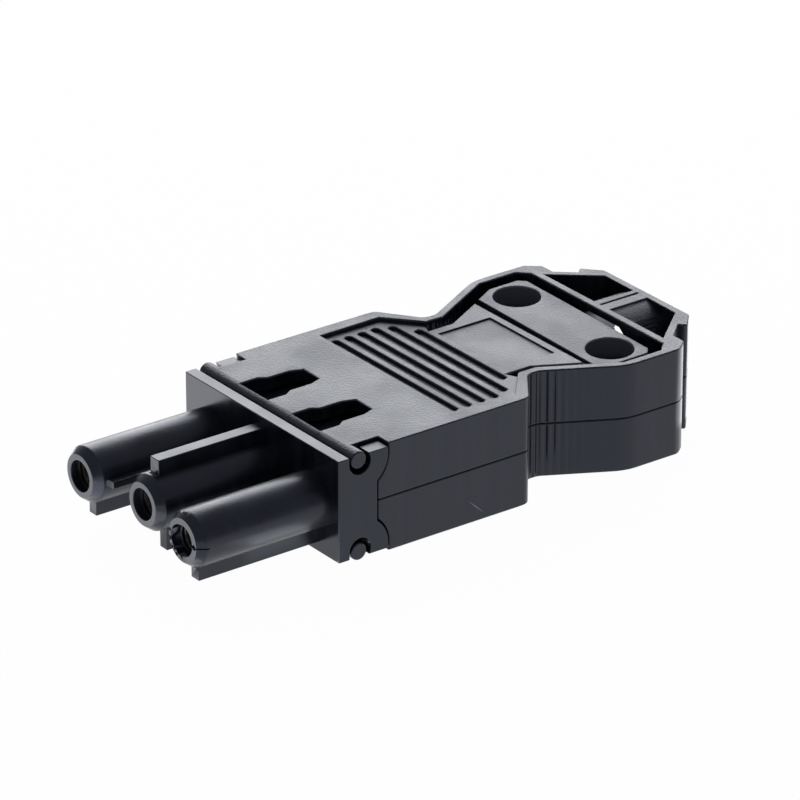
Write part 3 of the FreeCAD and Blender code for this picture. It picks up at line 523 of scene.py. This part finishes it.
# %% [markdown]
# ## A worn mouth
#
# The right sleeve looks as if it had been pushed on to pins at a slant: the left of its mouth is worn
# thin and crumbled, and a crack runs out of the hole on the other side. Broken plastic has no smooth
# edge, so bump alone would look too tidy. Here the wear is a rough cylinder that stands off the hole's
# middle, each crumb is a small icosphere with its corners shaken about, and the crack is a thin box. A
# Boolean takes them out of the moulding before its edges are rounded, and the rounding leaves out every
# edge near the break.

# %% Tools that break plastic
def shake(amount, seed):
    """Move the active mesh's corners about by up to an amount."""
    bpy.ops.object.mode_set(mode="EDIT")
    bpy.ops.mesh.select_all(action="SELECT")
    bpy.ops.transform.vertex_random(offset=amount, seed=seed)
    bpy.ops.object.mode_set(mode="OBJECT")


def take_out(piece):
    """Cut the active mesh out of a piece and delete it."""
    tool = bpy.context.object
    cut = piece.modifiers.new("break", "BOOLEAN")
    cut.operation = "DIFFERENCE"
    cut.solver = "EXACT"
    cut.object = tool
    bpy.ops.object.select_all(action="DESELECT")
    piece.select_set(True)
    bpy.context.view_layer.objects.active = piece
    bpy.ops.object.modifier_apply(modifier=cut.name)
    bpy.data.objects.remove(tool)
    print(piece.name, "has", len(piece.data.polygons), "faces after a cut")


# %% Wear, crumbs and crack
WEAR_OFFSET = Vector((-0.30, 0, -0.10)) * MM
WEAR_RADIUS = 1.9 * MM
WEAR_DEPTH = 1.2 * MM
WEAR_SIDES = 18
WEAR_SHAKE = 0.12 * MM
ALONG_Y = (math.pi / 2, 0, 0)
CRUMB_SHAKE = 0.25
CRUMB_SUBDIVISIONS = 2
CRUMBS = (
    # degrees round the mouth from +X, distance from its axis and radius in millimetres
    (0, 2.15, 0.34), (168, 2.45, 0.26), (192, 2.5, 0.32), (214, 2.45, 0.28), (240, 2.35, 0.26),
)
# the crack's start from the mouth's axis and its size, in millimetres
CRACK_START = 1.6
CRACK_SIZE = Vector((1.9, 2.6, 0.17))
BREAK_REACH = 4 * MM
right_socket = next(mount for mount in frame["record"]["mounts"] if mount["name"] == "socket_right")
mouth = Vector(right_socket["pos_m"])
mouth.y = sleeve_tip
print("right sleeve's mouth is at", [round(value, 4) for value in mouth])


def wear_mouth(piece):
    """Wear one side of the right sleeve's mouth thin, crumble it and crack the other side."""
    bpy.ops.object.select_all(action="DESELECT")
    bpy.ops.mesh.primitive_cylinder_add(
        vertices=WEAR_SIDES, radius=WEAR_RADIUS, depth=2 * WEAR_DEPTH, location=mouth + WEAR_OFFSET,
        rotation=ALONG_Y,
    )
    shake(WEAR_SHAKE, seed=len(CRUMBS))
    take_out(piece)
    for seed, (degrees, reach, radius) in enumerate(CRUMBS):
        turn = math.radians(degrees)
        place = mouth + Vector((math.cos(turn), 0, math.sin(turn))) * reach * MM
        bpy.ops.object.select_all(action="DESELECT")
        bpy.ops.mesh.primitive_ico_sphere_add(
            subdivisions=CRUMB_SUBDIVISIONS, radius=radius * MM, location=place,
        )
        shake(radius * CRUMB_SHAKE * MM, seed)
        take_out(piece)
    bpy.ops.object.select_all(action="DESELECT")
    place = mouth + Vector((CRACK_START + CRACK_SIZE.x / 2, 0, 0)) * MM
    bpy.ops.mesh.primitive_cube_add(size=1, location=place, scale=CRACK_SIZE * MM)
    take_out(piece)


# %% [markdown]
# ## Corners as they came out
#
# A real moulding is never quite its drawing. The strain-relief flap hangs on a film hinge and leans,
# probably because its left screw isn't as far in as the right one: its left side and rear edge stand a
# little high. The rims beside the grip field came out broader, and the lip and the slanted corners at
# the rear are a little off. New solids could be drawn for this, but all of it is small moves of corners
# that the mesh already has, so a copy of the mesh is changed corner by corner. The corners in the table
# move on both sides alike.

# %% Flap, rims and rear corners
SAME = 0.02 * MM
FLAP_FRONT = 19.85 * MM
FLAP_RISE = 0.085 * MM
FLAP_ROLL = -0.0143
FLAP_PITCH = 0.0134
MOVED_CORNERS = (
    # half width and length where a corner is, how far it moves outwards and rearwards,
    # and the lowest height at which it does, all in millimetres
    (13.50, -1.20, -0.70, 0.0, 12.0),
    (13.50, 7.14, -0.70, 0.0, 12.0),
    (12.20, 26.40, 0.0, 0.28, 11.0),
    (11.30, 27.30, 0.0, 0.28, 11.0),
    (14.60, 29.70, 0.0, -0.21, 0.0),
    (13.10, 31.20, 0.15, 0.0, 0.0),
    (9.83, 34.07, 0.22, 0.22, 0.0),
)


def set_corners(piece):
    """Move the corners that came out elsewhere and lean the flap's top face."""
    mesh = bmesh.new()
    mesh.from_mesh(piece.data)
    moved = 0
    for corner in mesh.verts:
        x, y, z = corner.co
        for half, length, outwards, rearwards, lowest in MOVED_CORNERS:
            if abs(abs(x) - half * MM) < SAME and abs(y - length * MM) < SAME and z > lowest * MM - SAME:
                corner.co.x += math.copysign(1, x) * outwards * MM
                corner.co.y += rearwards * MM
                moved += 1
        if y > FLAP_FRONT - SAME and abs(z - FLAP_TOP) < SAME:
            corner.co.z += FLAP_RISE + FLAP_ROLL * x + FLAP_PITCH * (y - FLAP_FRONT)
    mesh.to_mesh(piece.data)
    mesh.free()
    print(piece.name, "has", moved, "corners moved")


print("the flap leans", round(math.degrees(math.atan(abs(FLAP_ROLL))), 2), "degrees to the side")

# %% [markdown]
# ## Softened mouldings
#
# A mould is milled and polished, so no edge of a moulding is perfectly sharp: each has a small radius
# that catches a thin line of light, or of dark where it turns away. The CAD solids have sharp edges.
# They could be rounded one by one in CAD, but a Bevel modifier on a copy of the mesh rounds every
# marked edge at once. The copy's loose triangles are welded and flat areas cleared of inner edges
# first, so that only real edges are left. The tall upright edges of the shells get a larger radius, as
# on the real ones, and an edge beside a narrow face gets a smaller one.

# %% Welded copies
WELD = 0.002 * MM
FLAT_LIMIT = math.radians(1)


def welded_copy(node_name):
    """Copy a CAD node's mesh into a new piece with welded corners and no edges inside flat areas."""
    piece = bpy.data.objects.new(f"{node_name}_moulding", cad_nodes[node_name].data.copy())
    bpy.context.collection.objects.link(piece)
    bpy.ops.object.select_all(action="DESELECT")
    piece.select_set(True)
    bpy.context.view_layer.objects.active = piece
    bpy.ops.object.mode_set(mode="EDIT")
    bpy.ops.mesh.select_all(action="SELECT")
    bpy.ops.mesh.remove_doubles(threshold=WELD)
    bpy.ops.mesh.dissolve_limited(angle_limit=FLAT_LIMIT)
    bpy.ops.object.mode_set(mode="OBJECT")
    print(piece.name, "starts with", len(piece.data.polygons), "faces")
    return piece


# %% Edges that stand out
EDGE_LIMIT = math.radians(32)
EDGE_ROOM = 0.4
CROSSWISE = 0.7
UPRIGHT = 0.95
UPRIGHT_LENGTH = 3 * MM


def weigh_outer_edges(piece, radius, upright_radius):
    """Mark the edges that stand out, each no wider than the faces beside it have room for."""
    mesh = bmesh.new()
    mesh.from_mesh(piece.data)
    weight = mesh.edges.layers.float.new("bevel_weight_edge")
    marked = 0
    for edge in mesh.edges:
        if not (edge.is_manifold and edge.is_convex and edge.calc_face_angle() > EDGE_LIMIT):
            continue
        if min((end.co - mouth).length for end in edge.verts) < BREAK_REACH:
            continue
        along = (edge.verts[1].co - edge.verts[0].co).normalized()
        room = [
            near.calc_length() for end in edge.verts for near in end.link_edges
            if abs((near.verts[1].co - near.verts[0].co).normalized().dot(along)) < CROSSWISE
        ]
        upright = abs(along.z) > UPRIGHT and edge.calc_length() > UPRIGHT_LENGTH
        wanted = upright_radius if upright else radius
        edge[weight] = min([wanted] + [EDGE_ROOM * length for length in room]) / upright_radius
        marked += 1
    mesh.to_mesh(piece.data)
    mesh.free()
    print(piece.name, "rounds", marked, "edges")


# %% Rounded edges
EDGE_SEGMENTS = 3


def round_edges(piece, upright_radius):
    """Round the marked edges of the active piece and shade it smooth, with flat faces left flat."""
    edges = piece.modifiers.new("moulded_edges", "BEVEL")
    edges.limit_method = "WEIGHT"
    edges.width = upright_radius
    edges.segments = EDGE_SEGMENTS
    edges.use_clamp_overlap = False
    bpy.ops.object.modifier_apply(modifier=edges.name)
    bpy.ops.object.shade_smooth_by_angle(angle=EDGE_LIMIT)
    flats = piece.modifiers.new("flat_faces_stay_flat", "WEIGHTED_NORMAL")
    flats.keep_sharp = True
    bpy.ops.object.modifier_apply(modifier=flats.name)
    print(piece.name, "has radii of up to", round(upright_radius / MM, 2), "mm")


# %% Moulded pieces
MOULDINGS = (
    # node, body it moves with, slot, finish, radius of its edges and of its upright edges in millimetres
    ("contact_carrier", "carrier", "carrier_black", carrier_polyamide, 0.10, 0.15),
    ("upper_shell", "upper", "shell_black", shell_polyamide, 0.20, 0.70),
    ("lower_shell", "lower", "shell_black", shell_polyamide, 0.20, 0.70),
)
for node_name, body, slot, finish, edge_mm, upright_mm in MOULDINGS:
    piece = welded_copy(node_name)
    if node_name == "contact_carrier":
        wear_mouth(piece)
    else:
        set_corners(piece)
    weigh_outer_edges(piece, edge_mm * MM, upright_mm * MM)
    round_edges(piece, upright_mm * MM)
    piece.data.materials.clear()
    piece.data.materials.append(finish)
    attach(piece, body)
    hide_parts(node_name)
    print(piece.name, "has", len(piece.data.polygons), "faces")
